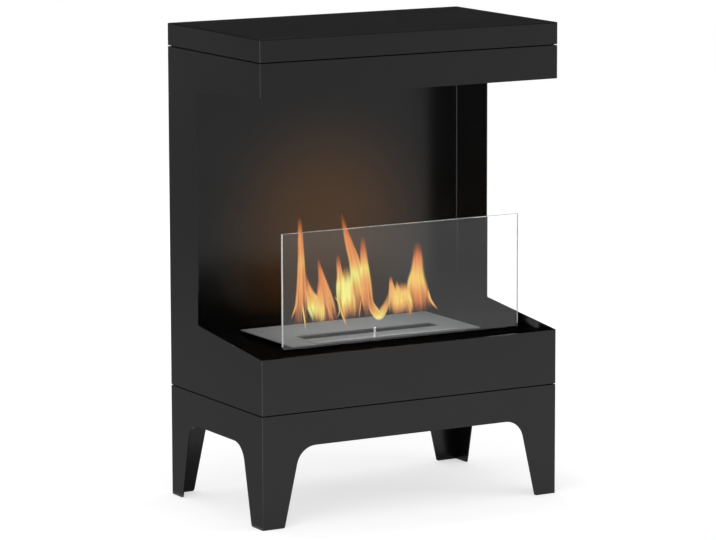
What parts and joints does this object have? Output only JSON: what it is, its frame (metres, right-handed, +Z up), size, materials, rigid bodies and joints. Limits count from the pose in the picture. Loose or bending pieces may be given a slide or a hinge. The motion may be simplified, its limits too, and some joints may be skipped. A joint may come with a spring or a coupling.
{
  "type": "bioethanol fireplace",
  "caption": "Free-standing bioethanol fireplace: folded steel base on tapered legs, open fire chamber with glass screen and slotted burner, under a flat hood and lid.",
  "frame": {"origin": "on the floor, under the middle of the casing", "axes": "X across the front, -Y is the front, +Z up"},
  "size_m": [0.6, 0.346, 0.854],
  "materials": {
    "black_powder_coat": "satin powder coat, fine texture",
    "brushed_stainless": "brushed along the length",
    "clear_glass": "clear toughened pane, polished edges",
    "zinc_plate": "bright zinc plate",
    "silicone": "matt black silicone",
    "ceramic_fibre": "off-white fibre blanket"
  },
  "bodies": {
    "casing": {"lid_tray": "black_powder_coat", "hood_ceiling": "black_powder_coat", "hood_front": "black_powder_coat", "left_side_panel": "black_powder_coat", "right_side_panel": "black_powder_coat", "back_panel": "black_powder_coat", "base_front": "black_powder_coat", "base_bottom_plate": "black_powder_coat", "floor_plate": "black_powder_coat", "glass_channel": "black_powder_coat", "leg_frame_front": "black_powder_coat", "leg_frame_rear": "black_powder_coat", "leg_frame_left": "black_powder_coat", "leg_frame_right": "black_powder_coat", "lid_spacer": "black_powder_coat", "leg_spacer": "black_powder_coat", "lid_screws": "zinc_plate", "lid_nuts": "zinc_plate", "leg_bolts": "zinc_plate", "leg_nuts": "zinc_plate", "glass_gasket": "silicone"},
    "glass": {"glass_pane": "clear_glass"},
    "burner": {"burner_plate": "brushed_stainless", "burner_tank": "brushed_stainless", "ceramic_fibre": "ceramic_fibre", "fibre_retainer": "brushed_stainless"},
    "shutter": {"shutter_plate": "brushed_stainless", "shutter_pin": "brushed_stainless"}
  },
  "joints": [
    {"name": "glass_lift", "type": "slide", "parent": "casing", "child": "glass", "axis": [0, 0, 1], "range_m": [0, 0.04]},
    {"name": "burner_lift", "type": "slide", "parent": "casing", "child": "burner", "axis": [0, 0, 1], "range_m": [0, 0.07]},
    {"name": "shutter_slide", "type": "slide", "parent": "burner", "child": "shutter", "axis": [0, 1, 0], "range_m": [0, 0.0429]}
  ]
}
